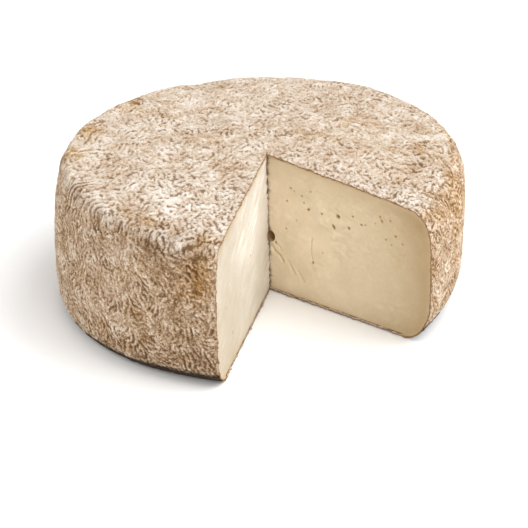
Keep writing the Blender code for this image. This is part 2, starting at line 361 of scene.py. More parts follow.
# Constants of the shaders
RIND_SHADER = {"Specular IOR Level": 0.16}
PASTE_SHADER = {
    "Roughness": 0.5,
    "Specular IOR Level": 0.35,
    "Subsurface Weight": 0.25,
    "Subsurface Radius": (1.0, 0.7, 0.4),
    "Subsurface Scale": 0.0025,
}
FLOOR_SHADER = {"Roughness": 0.7, "Specular IOR Level": 0.2}

# Colours by tone, then what tints them and what is laid over them: finish value, strength and colour
RIND_STOPS = ((0.10, "furrow"), (0.42, "flank"), (0.66, "ridge"), (0.95, "crest"))
RIND_TINTS = (("ochre", 1.0, "ochre"), ("grey", 0.7, "grey"))
# dash darkens furrows and pits, and along the base's cut edges it is painted contact shade; foot is painted
# contact shade under the heel
RIND_COATS = (
    ("dash", 0.85, "pit"),
    ("foot", 1.0, "foot"),
    ("cut", 1.0, "rim"),
    ("flesh", 1.0, "paste_edge"),
)
PASTE_STOPS = ((0.15, "paste_deep"), (0.5, "paste"), (0.9, "paste_pale"))
# Both tints are painted shade; the shade one also holds the paste's own darkening towards the rind
PASTE_TINTS = (("warm", 1.0, "paste_painted_warm_shade"), ("shade", 1.0, "paste_shade"))
# The crack and hole coats are painted shade in the cracks and holes
PASTE_COATS = (
    ("under_rind", 0.7, "paste_edge"),
    ("rust", 0.75, "rust"),
    ("mark", 0.6, "mark"),
    ("hole", 1.0, "hole"),
)
# The nick's darkness is partly painted shade in the crevice of the knife's line
NICK_COAT = (("nick", 0.9, "nick"),)

# The camera stands to the left of the notch. All are read off the photograph's outlines.
CAMERA_FROM = FRONT
CAMERA_PITCH = math.radians(28.37)
CAMERA_ROLL = math.radians(1.482)
CAMERA_DISTANCE = 1.4131
CAMERA_TARGET = Vector((-0.00084, -0.00675, 0.01586))
PHOTO_WIDTH = 528
CAMERA_FOCUS_PIXELS = 2618.0
SENSOR_WIDTH = 36.0

# Lights: name, turn to the right of the camera and height in degrees, distance, size, power and colour
LIGHTS = (
    ("key_light", 82, 50, 4.0, 4.0, 200.0, (0.98, 0.99, 1.0)),
    ("front_light", 12, 28, 4.0, 2.2, 62.0, (1.0, 0.97, 0.92)),
    ("left_light", -98, 32, 4.0, 2.5, 54.0, (1.0, 0.98, 0.95)),
)
LIGHT_AIM = Vector((0, 0, 0.04))
WORLD_STRENGTH = 0.58


def swell(amount, direction):
    """A size that changes round the wheel: mean plus change times the cosine from its peak."""
    mean, change, peak = amount
    return mean + change * np.cos(direction - peak)


def outline_radius(direction):
    """Distance from the knife's point to the side: the wheel's radius times one plus three cosines."""
    waves = OFF_CENTRE * np.cos(direction - OFF_CENTRE_TOWARDS)
    waves += OVAL * np.cos(2 * (direction - OVAL_TOWARDS))
    waves += THREE_SIDED * np.cos(3 * (direction - THREE_SIDED_TOWARDS))
    return WHEEL_RADIUS * (1 + waves)


def top_rise(out, direction):
    """A crown that falls off with the square of the share out, plus a tilt that grows with it."""
    return CROWN_HEIGHT * (1 - out**2) + TOP_TILT * out * np.cos(direction - TOP_TILT_TOWARDS)


def lower_profile(direction):
    """Out, up and firmness from the base rim to the end of the shoulder, closely sampled.

    Heel and shoulder are quarter superellipses, and the side between them is straight. Firmness runs
    from 0 at the base rim to 1 where the heel ends, and fades the relief out towards the flat base.
    """
    turn = np.linspace(0, math.pi / 2, PROFILE_SAMPLES)
    column = np.asarray(direction)[:, None]
    radius = outline_radius(column)
    heel_sine, heel_cosine = (wave(turn) ** (2 / HEEL_SQUARENESS) for wave in (np.sin, np.cos))
    sine, cosine = (wave(turn) ** (2 / SHOULDER_SQUARENESS) for wave in (np.sin, np.cos))
    heel_out = radius - swell(HEEL_WIDTH, column) * (1 - heel_sine)
    heel_up = swell(HEEL_RISE, column) * (1 - heel_cosine)
    drop = swell(SHOULDER_DROP, column)
    shoulder_out = radius - swell(SHOULDER_WIDTH, column) * (1 - cosine)
    rise = top_rise(shoulder_out / radius, column)
    shoulder_up = SHOULDER_HEIGHT - drop + sine * (drop + rise)
    firmness = np.broadcast_to(turn / turn[-1], heel_out.shape)
    return (
        np.concatenate([heel_out, shoulder_out], axis=1),
        np.concatenate([heel_up, shoulder_up], axis=1),
        np.concatenate([firmness, np.ones_like(shoulder_out)], axis=1),
    )


def top_profile(direction, share):
    """Out and up of the top, from the end of the shoulder (share 0) to the knife's point (share 1)."""
    column = np.asarray(direction)[:, None]
    radius = outline_radius(column)
    out = (radius - swell(SHOULDER_WIDTH, column)) * (1 - share)
    return out, SHOULDER_HEIGHT + top_rise(out / radius, column)


def evenly(count, out, up, *others):
    """Resamples profiles to count even steps of arc length, and adds the arc length.

    The profiles are laid end to end, each a metre after the last, so that one interpolation over
    that long line serves them all.
    """
    steps = np.hypot(np.diff(out, axis=1), np.diff(up, axis=1))
    length = np.concatenate([np.zeros((len(out), 1)), np.cumsum(steps, axis=1)], axis=1)
    start = np.arange(len(out))[:, None]
    wanted = length[:, -1:] * np.linspace(0, 1, count + 1)
    known = (start + length).ravel()
    places = (start + wanted).ravel()
    found = [np.interp(places, known, np.ascontiguousarray(line).ravel()) for line in (out, up, *others)]
    return [line.reshape(wanted.shape) for line in found] + [wanted]


def place(direction, out, up):
    """Points at those distances out from the knife's point in those directions, and at those heights."""
    x = KNIFE_POINT[0] + out * np.cos(direction)
    y = KNIFE_POINT[1] + out * np.sin(direction)
    return np.stack(np.broadcast_arrays(x, y, up), axis=-1)


def profile_normal(out, up):
    """Outward normals of profiles in their own planes: each tangent turned a quarter turn."""
    along, rise = np.gradient(out, axis=1), np.gradient(up, axis=1)
    length = np.maximum(np.hypot(along, rise), 1e-12)
    return rise / length, -along / length


def random_waves(seed, count, wavelength, height):
    """Wave vectors of about one wavelength in random directions, with a phase and a height each."""
    draw = random.Random(seed)
    waves = []
    for _ in range(count):
        up = draw.uniform(-1, 1)
        turn = draw.uniform(0, math.tau)
        flat = math.sqrt(1 - up * up)
        number = math.tau / (wavelength * draw.uniform(0.75, 1.35))
        vector = (flat * math.cos(turn) * number, flat * math.sin(turn) * number, up * number)
        waves.append((vector, draw.uniform(0, math.tau), height * math.sqrt(2 / count)))
    return waves


def wave_sum(points, waves):
    """Sum of cosines: each wave's height times the cosine of its vector along the point, plus phase."""
    total = np.zeros(points.shape[:-1])
    for vector, phase, height in waves:
        total += height * np.cos(points @ np.array(vector) + phase)
    return total


def broad_relief(points, direction):
    """The broad dents and crags that the solid has too, softened, and more so beside the cuts."""
    height = DENT_SHARE * wave_sum(points, random_waves(*DENTS))
    height += CRAG_SHARE * wave_sum(points, random_waves(*CRAGS))
    out = np.hypot(points[..., 0] - KNIFE_POINT[0], points[..., 1] - KNIFE_POINT[1])
    gap = out * np.minimum(direction - LEADING, LEADING + WHEEL_ANGLE - direction)
    return height * (1 - CUT_CALM * np.exp(-((gap / CUT_CALM_REACH) ** 2)))


def smooth_step(value, low, high):
    """0 below low, 1 above high, and three times the square less twice the cube between."""
    share = np.clip((value - low) / (high - low), 0, 1)
    return share * share * (3 - 2 * share)


def evened(field):
    """The field shifted and scaled to a mean of 0 and a spread of 1."""
    return (field - field.mean()) / field.std()


def drift(shape, wavelength, seed, stretch=(1, 1)):
    """Slow unit noise: white noise under a Gaussian of wave number times wavelength.

    Stretch lengthens the blots down and across the field.
    """
    down = np.fft.fftfreq(shape[0], FIELD_STEP)[:, None] * stretch[0]
    across = np.fft.rfftfreq(shape[1], FIELD_STEP)[None, :] * stretch[1]
    noise = np.random.default_rng(seed).standard_normal(shape)
    kept = np.fft.rfft2(noise) * np.exp(-(wavelength**2) * (down**2 + across**2))
    kept[0, 0] = 0
    return evened(np.fft.irfft2(kept, shape))


def worms(shape, wavelength, lean, grain, seed, rounds=1):
    """Worm-like wrinkles as unit noise.

    White noise keeps only wave numbers whose logarithm is near that of one wavelength. They are split
    into lobes, one for each of six directions, and each lobe's noise is weighted by how well its
    direction fits the lean there. After a hyperbolic tangent, more rounds join blots into worms.
    """
    down = np.fft.fftfreq(shape[0], FIELD_STEP)[:, None] * grain.stretch
    across = np.fft.rfftfreq(shape[1], FIELD_STEP)[None, :]
    waves, angle = np.hypot(down, across), np.arctan2(down, across)
    ring = np.exp(-((np.log(np.maximum(waves * wavelength, 1e-6)) / WORM_SPREAD) ** 2))
    field = np.random.default_rng(seed).standard_normal(shape)
    for _ in range(rounds):
        spectrum = np.fft.rfft2(field) * ring
        field = np.zeros(shape)
        for turn in np.arange(WORM_DIRECTIONS) * math.pi / WORM_DIRECTIONS:
            lobe = np.exp(-((np.cos(angle - turn) / WORM_LOBE_WIDTH) ** 2))
            weight = np.exp(grain.hold * np.cos(2 * (lean - turn)))
            field += weight * np.fft.irfft2(spectrum * lobe, shape)
        raw = evened(field)
        field = np.tanh(WORM_SQUEEZE * raw)
    return raw


def read_field(field, across, down):
    """Values of a field at places in metres, by bilinear interpolation, with the field repeating."""
    column, row = across / FIELD_STEP, down / FIELD_STEP
    left, low = np.floor(column).astype(int), np.floor(row).astype(int)
    right_share, high_share = column - left, row - low
    rows, columns = field.shape
    left, right = left % columns, (left + 1) % columns
    low, high = low % rows, (low + 1) % rows
    bottom = field[low, left] * (1 - right_share) + field[low, right] * right_share
    top = field[high, left] * (1 - right_share) + field[high, right] * right_share
    return bottom * (1 - high_share) + top * high_share


@functools.lru_cache(maxsize=None)
def rind_fields(grain, width):
    """The fields that make up the rind on one flat sheet, by name."""
    shape, seed = grain.shape, grain.seed
    fields = {name: drift(shape, size, seed + number) for name, (size, number) in DRIFTS.items()}
    lean = grain.lean + TURN_AMOUNT * fields.pop("turn")
    fine = drift(shape, FINE_SIZE, seed + 2, (grain.stretch, 1))
    worm = worms(shape, width, lean, grain, seed + 3, 2)
    broad = worms(shape, BROAD_WIDTH * width, lean, grain, seed + 4)
    strength = np.exp(STRENGTH_AMOUNT * fields.pop("strength"))
    worm_share, broad_share, fine_share = WRINKLE_MIX
    fields["wrinkle"] = strength * (worm_share * worm + broad_share * broad + fine_share * fine)
    thread = worms(shape, THREAD_WIDTH * width, lean, grain, seed + 6)
    fields["thread"] = thread + THREAD_FINE * fine
    crack = worms(shape, CRACK_WIDTH * width, lean + CRACK_TURN, grain, seed + 11)
    fields["crack"] = crack + CRACK_FINE * fine
    return fields


def rind_values(points, along, arc, top_share, sizes):
    """Wrinkle values at points of the rind.

    The top reads its fields at x and y, turned to the grain, and the side at the distance round and
    the arc length up. In the shoulder the two are mixed by the top's share, and divided by the root
    of the sum of squares of the shares, so that the wrinkles stay as deep.
    """
    top = rind_fields(TOP_GRAIN, sizes.wrinkle_width)
    side = rind_fields(SIDE_GRAIN, sizes.wrinkle_width)
    middle = TOP_GRAIN.shape[0] * FIELD_STEP / 2
    cosine, sine = math.cos(TOP_GRAIN_TURN), math.sin(TOP_GRAIN_TURN)
    across = points[..., 0] * cosine + points[..., 1] * sine + middle
    away = points[..., 1] * cosine - points[..., 0] * sine + middle
    values = {name: read_field(field, across, away) for name, field in top.items()}
    if top_share.min() < 1:
        level = np.sqrt(top_share**2 + (1 - top_share) ** 2)
        for name, value in values.items():
            below = read_field(side[name], along, arc)
            values[name] = (value * top_share + below * (1 - top_share)) / level
    return values


def patches(points, kind):
    """Sum of the patches of one kind: each a Gaussian of the distance from its middle."""
    total = np.zeros(points.shape[:-1])
    for x, y, z, reach, strength in PATCHES[kind]:
        squares = ((points - np.array((x, y, z)) / 1000) ** 2).sum(axis=-1)
        total += strength * np.exp(-squares / (reach / 1000) ** 2)
    return np.clip(total, 0, 1)


def pleated(points, worm):
    """Wrinkles with the pleats laid in: cosines of the distance from the middle of the arcs."""
    away = points - PLEAT_MIDDLE
    distance = np.sqrt((away**2).sum(axis=-1)) + 1e-9
    facing = (away @ PLEAT_TOWARDS) / distance
    fan, band = (
        strength
        * smooth_step(distance, *inner)
        * smooth_step(distance, *outer)
        * smooth_step(facing, *width)
        for strength, inner, outer, width in PLEATS
    )
    share = np.maximum(fan, band)
    arcs = (PLEAT_DEPTH + BAND_DEPTH * band) * np.cos(math.tau * distance / PLEAT_WAVELENGTH)
    return worm * (1 - share) + (arcs + PLEAT_WORM * worm) * share


def wrinkle_gain(points, arc, top_share):
    """How strong the wrinkles are: more so towards the photograph's side, and at the foot there."""
    near = (points[..., 0] * math.cos(FRONT) + points[..., 1] * math.sin(FRONT)) / WHEEL_RADIUS
    near = smooth_step(near, *NEAR_REACH)
    side = SIDE_GAIN + SIDE_NEAR_GAIN * near + LOW_NEAR_GAIN * near * smooth_step(arc, *LOW_REACH)
    return (1 + TOP_NEAR_GAIN * near) * top_share + side * (1 - top_share)


def zero_line(field, width):
    """A line where a field crosses zero: a Gaussian of the field's value over a width."""
    return np.exp(-((field / width) ** 2))


def dress_rind(points, along, arc, top_share, sizes):
    """Height of the fine relief and the finish values at points of the rind.

    Ridges are a hyperbolic tangent of the wrinkles, so that they are flat and the furrows narrow.
    Dashes are the deepest furrows and the cracks, which like the thin threads lie where a field of
    their own crosses zero. Flakes of bloom are the peaks of the flecks and blotches.
    """
    found = rind_values(points, along, arc, top_share, sizes)

    def blend(name):
        return getattr(SIDE_GRAIN, name) * (1 - top_share) + getattr(TOP_GRAIN, name) * top_share

    white, brown, ochre, grey = (patches(points, kind) for kind in ("bloom", "brown", "ochre", "grey"))
    blotch, cloud, fleck = found["blotch"], found["cloud"], found["fleck"]
    gain = wrinkle_gain(points, arc, top_share)
    wrinkle = pleated(points, found["wrinkle"]) * gain
    ridge = 0.5 + 0.5 * np.tanh(blend("flatness") * (wrinkle + blend("shift")))
    dash = smooth_step(-wrinkle, blend("dark"), blend("dark") + DARK_SPAN)
    thread = zero_line(found["thread"], THREAD_LINE) * smooth_step(found["thread_share"], *THREAD_REACH)
    thread = thread * blend("thread")
    crack = zero_line(found["crack"], CRACK_LINE) * blend("crack") * gain
    crack = crack * smooth_step(found["crack_share"] - CRACK_PULL * wrinkle + brown, *CRACK_REACH)
    tone = TONE_MIDDLE + blend("ridge") * gain * (ridge - TONE_RIDGE)
    # Brown patches lower the tone, partly as painted shade under the front-left shoulder's edge
    tone = tone + BLOTCH_TONE * blotch + CLOUD_TONE * cloud + THREAD_TONE * thread + BROWN_TONE * brown
    dash = np.clip(np.maximum(FURROW_DASH * dash, crack) * (1 + BROWN_DASH * brown), 0, 1)
    flake = smooth_step(fleck + FLAKE_BLOTCH * blotch + FLAKE_WHITE * white, *FLAKE_REACH)
    bloom = flake * (LEAST_BLOOM + (1 - LEAST_BLOOM) * white) * (1 - BROWN_BLOOM * brown)
    clouds = SIDE_OCHRE + (TOP_OCHRE - SIDE_OCHRE) * top_share
    ochre = ochre + clouds * smooth_step(-cloud, *OCHRE_CLOUD_REACH)
    ochre = np.clip(ochre, 0, 1) * smooth_step(fleck + OCHRE_FLECK * ochre, *OCHRE_FLECK_REACH)
    pale = smooth_step(top_share, *PALE_REACH) + PALE_CLOUD * cloud + PALE_WHITE * white
    depth = sizes.wrinkle_depth * (LEAST_HEIGHT + RIDGE_HEIGHT * blend("ridge"))
    height = depth * (ridge - LEVEL_RIDGE) - SKIN_SINK
    height += sizes.thread_height * thread - sizes.pit_depth * dash
    height += sizes.lump_height * (blotch + bloom)
    return height, {
        "tone": np.clip(tone, 0, 1),
        "dash": dash,
        "bloom": bloom,
        "ochre": ochre * smooth_step(tone, *OCHRE_TONE_REACH),
        "grey": grey,
        "pale": np.clip(pale, 0, 1),
    }


def ragged_line(places, seed):
    """Torn edge along a line: unit noise of about a millimetre, at places in metres along it."""
    field = drift((64, 1024), RAGGED_SIZE, seed)
    return read_field(field, places, np.zeros_like(places))


class Piece:
    """Gathers the points, finish values and faces of one piece, and makes its mesh."""

    def __init__(self):
        self.points, self.values, self.faces, self.count = [], [], [], 0

    def add(self, points, **values):
        """Adds an array of points with their finish values, and returns an array of their indices."""
        shape = points.shape[:-1]
        index = self.count + np.arange(np.prod(shape, dtype=int)).reshape(shape)
        self.count += index.size
        self.points.append(points.reshape(-1, 3))
        spread = {name: np.broadcast_to(value, shape).ravel() for name, value in values.items()}
        self.values.append(spread)
        return index

    def add_faces(self, faces, flip=False):
        """Adds rows of indices as faces, turned over where flip is set."""
        faces = faces[:, ::-1] if flip else faces
        self.faces.append(faces)

    def grid(self, index, flip=False):
        """Quads between neighbouring columns and rows of indices, facing the viewer who sees columns
        run to the right and rows run up."""
        quads = np.stack([index[:-1, :-1], index[1:, :-1], index[1:, 1:], index[:-1, 1:]], axis=-1)
        self.add_faces(quads.reshape(-1, 4), flip)

    def strip(self, fine, coarse, flip=False):
        """Triangles between a fine line below and a coarse line above it. Each coarse step has a fan
        from its end on the first half and from its start on the second, so that both ends may meet."""
        steps = len(coarse) - 1
        ratio = (len(fine) - 1) // steps
        step = np.arange(len(fine) - 1) // ratio
        early = step < steps // 2
        fans = np.stack([fine[:-1], fine[1:], coarse[step + early]], axis=-1)
        step = np.arange(steps)
        foot = fine[(step + (step >= steps // 2)) * ratio]
        links = np.stack([coarse[:-1], foot, coarse[1:]], axis=-1)
        triangles = np.concatenate([fans, links])
        first, second, third = triangles.T
        self.add_faces(triangles[(first != second) & (second != third) & (third != first)], flip)

    def fan(self, line, tip, flip=False):
        """Triangles from each step of a line to one tip."""
        tips = np.full(len(line) - 1, tip)
        self.add_faces(np.stack([line[:-1], line[1:], tips], axis=-1), flip)

    def make(self, name, material, slot):
        """Puts the piece into a new mesh object that rides on the wheel's body and replaces its solid."""
        mesh = bpy.data.meshes.new(name)
        points = np.concatenate(self.points).astype(np.float32)
        mesh.vertices.add(len(points))
        mesh.vertices.foreach_set("co", points.ravel())
        corners = np.concatenate([faces.ravel() for faces in self.faces]).astype(np.int32)
        sizes = np.concatenate([np.full(len(faces), faces.shape[1]) for faces in self.faces])
        mesh.loops.add(len(corners))
        mesh.loops.foreach_set("vertex_index", corners)
        mesh.polygons.add(len(sizes))
        mesh.polygons.foreach_set("loop_start", (np.cumsum(sizes) - sizes).astype(np.int32))
        mesh.update(calc_edges=True)
        names = sorted(set().union(*self.values))
        for value_name in names:
            columns = [
                values.get(value_name, np.zeros(len(part)))
                for values, part in zip(self.values, self.points)
            ]
            attribute = mesh.attributes.new(value_name, "FLOAT", "POINT")
            attribute.data.foreach_set("value", np.concatenate(columns).astype(np.float32))
        mesh.shade_smooth()
        mesh.set_sharp_from_angle(angle=EDGE_ANGLE)
        mesh.materials.append(material)
        piece = bpy.data.objects.new(name, mesh)
        bpy.context.collection.objects.link(piece)
        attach(piece, "root")
        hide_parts(NODE)


def side_sheet(direction, rows, sizes, fine=True, thickness=0.0):
    """Points and values of the side from the base rim to the end of the shoulder."""
    out, up, firmness, arc = evenly(rows, *lower_profile(direction))
    across, rise = profile_normal(out, up)
    column = direction[:, None]
    points = place(column, out, up)
    height = broad_relief(points, column) * firmness - thickness
    values = {}
    if fine:
        along = np.broadcast_to((column - LEADING) * WHEEL_RADIUS, out.shape)
        top_share = 1 - smooth_step(arc[:, -1:] - arc, *SHOULDER_MIX)
        fine_height, values = dress_rind(points, along, arc, top_share, sizes)
        height = height + fine_height * np.clip(firmness * WRINKLE_FIRMNESS, 0, 1)
        # Painted contact shade: the heel darkens to near black where it curls under towards the floor
        values["foot"] = CONTACT_SHADE_STRENGTH * smooth_step(arc / swell(HEEL_WIDTH, column), *CONTACT_SHADE_REACH)
    points = place(column, out + across * height, np.maximum(up + rise * height, 0))
    return points, values


def top_sheet(direction, rows, sizes, fine=True, thickness=0.0):
    """Points and values of the top from the end of the shoulder to the knife's point."""
    share = np.linspace(0, 1, rows + 1)
    out, up = top_profile(direction, share)
    across, rise = profile_normal(out, up)
    column = direction[:, None]
    points = place(column, out, up)
    height = broad_relief(points, column) - thickness
    values = {}
    if fine:
        fine_height, values = dress_rind(points, out, out, np.ones_like(out), sizes)
        height = height + fine_height
    across = across * smooth_step(1 - share, 0, POLAR_FADE)
    return place(column, out + across * height, up + rise * height), values


def base_sheet(direction, rows, sizes, fine=True, lift=0.0):
    """Points and values of the underside, from the base rim in to the knife's point. Only the
    furrows leave the resting plane, upwards, and they fade out at the rim."""
    share = np.linspace(0, 1, rows + 1)
    column = direction[:, None]
    out = (outline_radius(column) - swell(HEEL_WIDTH, column)) * (1 - share)
    points = place(column, out, lift)
    values = {}
    if fine:
        _, values = dress_rind(-points, out, out, np.ones_like(out), sizes)
        furrow = sizes.wrinkle_depth * (1 - values["tone"]) + sizes.pit_depth * values["dash"]
        points[..., 2] += furrow * smooth_step(share, 0, POLAR_FADE)
    return points, values


def inner_thickness(columns, sizes, first_cut, last_cut):
    """Thickness of a shell at its hidden columns: full, but thin where the knife cut through it."""
    thickness = np.full((columns, 1), sizes.hidden_rind_thickness)
    if first_cut:
        thickness[0] = sizes.rind_thickness
    if last_cut:
        thickness[-1] = sizes.rind_thickness
    return thickness


def tear_edges(points, values, directions, cuts):
    """Stands the cut edges of a sheet proud of the knife's planes by a ragged amount."""
    values["cut"] = np.zeros(points.shape[:2])
    places = np.arange(points.shape[1]) * RAGGED_STEP
    for (edge, outwards, proud_seed, dark_seed), direction, cut in zip(EDGES, directions, cuts):
        if cut:
            across = np.array([-math.sin(direction), math.cos(direction), 0.0]) * outwards
            proud = RIM_PROUD + RIM_RAGGED * np.clip(ragged_line(places, proud_seed), 0, 2)
            points[edge] += proud[:, None] * across
            dark = np.clip(ragged_line(places, dark_seed), -0.8, 1)
            values["cut"][edge] = RIM_DARK + RIM_DARK_RAGGED * dark


def close_shell(piece, outer, inner, rims):
    """Inner side and walls of a shell whose outer grid is there already. Rims are lines of indices
    just under its cut edges, or None."""
    piece.grid(inner, True)
    piece.strip(outer[:, 0], inner[:, 0], True)
    piece.strip(outer[:, -1], inner[:, -1])
    left, right = outer[0], outer[-1]
    left_rim, right_rim = rims
    if left_rim is not None:
        piece.grid(np.stack([left_rim, left]))
        left = left_rim
    if right_rim is not None:
        piece.grid(np.stack([right, right_rim]))
        right = right_rim
    piece.strip(left, inner[0])
    piece.strip(right, inner[-1], True)


def make_side(sizes, material):
    """The side in pieces: a grid of directions by arc length, backed by a coarse inner grid."""
    columns = SIDE_PIECES * SIDE_COLUMNS
    direction = LEADING + WHEEL_ANGLE * np.arange(columns + 1) / columns
    points, values = side_sheet(direction, SIDE_ROWS, sizes)
    hidden = direction[::HIDDEN_COLUMN_STEP]
    thickness = inner_thickness(len(hidden), sizes, True, True)
    backs, _ = side_sheet(hidden, SIDE_ROWS // HIDDEN_ROW_STEP, sizes, False, thickness)
    flat_points = points.copy()
    tear_edges(points, values, (LEADING, TRAILING), (True, True))
    back_step = SIDE_COLUMNS // HIDDEN_COLUMN_STEP
    for number in range(SIDE_PIECES):
        piece = Piece()
        span = slice(number * SIDE_COLUMNS, (number + 1) * SIDE_COLUMNS + 1)
        outer = piece.add(points[span], **{name: value[span] for name, value in values.items()})
        piece.grid(outer)
        back = backs[number * back_step : (number + 1) * back_step + 1]
        inner = piece.add(back, flesh=1.0)
        rims = [None, None]
        for side, (cut_piece, edge) in enumerate(((0, 0), (SIDE_PIECES - 1, -1))):
            if number == cut_piece:
                rims[side] = rim_points(piece, points[edge], flat_points[edge], back[edge], RIM_SEEDS[side])
        close_shell(piece, outer, inner, rims)
        piece.make(f"rind_side_{number + 1}", material, "rind")


def rim_points(piece, edge, flat_edge, back, seed, look=RIND_RIM):
    """A line just under a torn edge: from the edge towards the inner line by a wandering depth."""
    places = np.arange(len(edge)) * RAGGED_STEP
    coarse_places = np.linspace(0, places[-1], len(back))
    inwards = np.stack([np.interp(places, coarse_places, back[:, k]) for k in range(3)], axis=-1)
    step = inwards - flat_edge
    step /= np.maximum(np.linalg.norm(step, axis=-1, keepdims=True), 1e-9)
    depth, cut, tone = look
    wander = np.clip(ragged_line(places, seed), -RIM_WANDER_MOST, RIM_WANDER_MOST)
    depth = depth * (1 + RIM_WANDER * wander)
    return piece.add(edge + step * depth[:, None], cut=cut, tone=tone)


def polar_rings(piece, points, values, halvings):
    """Adds a polar sheet whose columns are halved towards the knife's point, where they meet.

    A row keeps every column whose number is a multiple of two to the power of its halvings. Returns
    the rows' index lines and the index of the point where they meet.
    """
    columns, rows = points.shape[0] - 1, points.shape[1] - 1
    kept = np.arange(columns + 1)[:, None] % (2 ** halvings[None, :]) == 0
    kept[:, -1] = False
    kept[0, -1] = True
    index = np.full(kept.shape, -1)
    index[kept] = piece.add(points[kept], **{name: value[kept] for name, value in values.items()})
    rings = [index[:: 2 ** halvings[row], row] for row in range(rows)]
    return rings, index[0, -1]


def polar_faces(piece, rings, tip, flip=False):
    """Quads between rings with as many columns, triangles where the columns are halved, and a fan."""
    start = 0
    for row in range(1, len(rings) + 1):
        ends = row == len(rings) or len(rings[row]) != len(rings[start])
        if ends and row - start > 1:
            piece.grid(np.stack(rings[start:row], axis=1), flip)
        if ends and row < len(rings):
            piece.strip(rings[row - 1], rings[row], flip)
            start = row
        elif ends:
            piece.fan(rings[-1], tip, flip)


def halvings_inward(rows, early, most):
    """How often the columns of each row are halved: once each time the row's radius is halved, counted
    from a multiple of the first row's radius, and never in the first row."""
    out = 1 - np.arange(rows + 1) / rows
    count = np.floor(np.log2(early / np.maximum(out, 1e-6))).astype(int)
    count[0] = 0
    return np.clip(count, 0, most)


def make_polar_shell(name, sheet, backs, span, columns, rows, halvings, cuts, flip, sizes, material):
    """A shell over a sector of the top or the base, closed by a coarse inner sheet."""
    direction = span[0] + (span[1] - span[0]) * np.arange(columns + 1) / columns
    points, values = sheet(direction, rows, sizes)
    flat_points = points.copy()
    tear_edges(points, values, span, cuts)
    # Painted contact shade: the base's two cut edges are dark, standing in for the shade at the foot of the
    # cut faces
    if flip:
        values["dash"][[0, -1]] = 1.0
    tip_point = points[0, -1] * 1.0
    tip_point[:2] = KNIFE_POINT
    points[:, -1] = tip_point
    piece = Piece()
    rings, tip = polar_rings(piece, points, values, halvings_inward(rows, *halvings))
    polar_faces(piece, rings, tip, flip)
    inner_points = backs(direction[::HIDDEN_COLUMN_STEP], rows // HIDDEN_ROW_STEP, cuts)
    # The base's hidden side is dark as well, painted contact shade where it shows at the foot of the cut
    # faces
    hidden = {"dash": 1.0} if flip else {"flesh": 1.0}
    inner = piece.add(inner_points[:, :-1], **hidden)
    inner_tip = piece.add(inner_points[0, -1], **hidden)
    piece.grid(inner, not flip)
    piece.fan(inner[:, -1], inner_tip, not flip)
    piece.strip(rings[0], inner[:, 0], not flip)
    look = BASE_RIM if flip else RIND_RIM
    for side, column in ((0, 0), (1, -1)):
        line = np.array([ring[column] for ring in rings] + [tip])
        facing = flip if side == 0 else not flip
        if cuts[side]:
            lines = (points[column], flat_points[column], inner_points[column])
            rim = rim_points(piece, *lines, POLAR_RIM_SEEDS[side], look)
            pair = [rim, line] if side == 0 else [line, rim]
            piece.grid(np.stack(pair), flip)
            line = rim
        piece.strip(line, np.append(inner[column], inner_tip), facing)
    piece.make(name, material, "rind")


def make_top(sizes, material):
    """The top in pieces, each a sector of a polar sheet round the knife's point."""

    def backs(direction, rows, cuts):
        thickness = inner_thickness(len(direction), sizes, *cuts)
        return top_sheet(direction, rows, sizes, False, thickness)[0]

    for number in range(TOP_PIECES):
        span = [LEADING + WHEEL_ANGLE * (number + end) / TOP_PIECES for end in (0, 1)]
        cuts = (number == 0, number == TOP_PIECES - 1)
        counts = (TOP_COLUMNS, TOP_ROWS, TOP_HALVINGS)
        name = f"rind_top_{number + 1}"
        make_polar_shell(name, top_sheet, backs, span, *counts, cuts, False, sizes, material)


def make_base(sizes, material):
    """The underside, one coarser polar sheet."""

    def backs(direction, rows, _cuts):
        return base_sheet(direction, rows, sizes, False, sizes.base_thickness)[0]

    span = (LEADING, LEADING + WHEEL_ANGLE)
    cuts = (True, True)
    counts = (BASE_COLUMNS, BASE_ROWS, BASE_HALVINGS)
    make_polar_shell("rind_base", base_sheet, backs, span, *counts, cuts, True, sizes, material)


def paste_outline(direction, thickness, sizes):
    """Out and up of the paste under the rind, as bottom, right and top lines, closely sampled.

    The profile is moved inwards by the rind's thickness. The lines meet at the middle of the heel and
    at the middle of the shoulder, where the profile is slanted, so that a patch between them has no
    flat corner.
    """
    out, up, firmness = lower_profile(direction)
    across, rise = profile_normal(out, up)
    column = direction[:, None]
    height = broad_relief(place(column, out, up), column) * firmness - thickness
    out, up = out + across * height, np.maximum(up + rise * height, sizes.base_thickness)
    share = np.linspace(0, 1, PROFILE_SAMPLES)
    top_out, top_up = top_profile(direction, share)
    top_up = top_up + broad_relief(place(column, top_out, top_up), column) - thickness
    top_out = top_out * (out[:, -1:] / top_out[:, :1])
    heel, shoulder = PROFILE_SAMPLES // 2, PROFILE_SAMPLES + PROFILE_SAMPLES // 2
    floor_out = np.linspace(0, 1, PROFILE_SAMPLES) * out[:, :1]
    floor_up = np.full_like(floor_out, sizes.base_thickness)
    bottom = [
        np.concatenate(pair, axis=1)
        for pair in ((floor_out, out[:, 1:heel]), (floor_up, up[:, 1:heel]))
    ]
    right = [out[:, heel - 1 : shoulder], up[:, heel - 1 : shoulder]]
    top = [
        np.concatenate([line[:, shoulder - 1 :], end[:, 1:]], axis=1)
        for line, end in ((out, top_out), (up, top_up))
    ]
    return bottom, right, top


def inwards_from(direction):
    """Unit vector from a cut face into the paste."""
    inwards = np.array([-math.sin(direction), math.cos(direction), 0.0])
    return inwards if direction == LEADING else -inwards


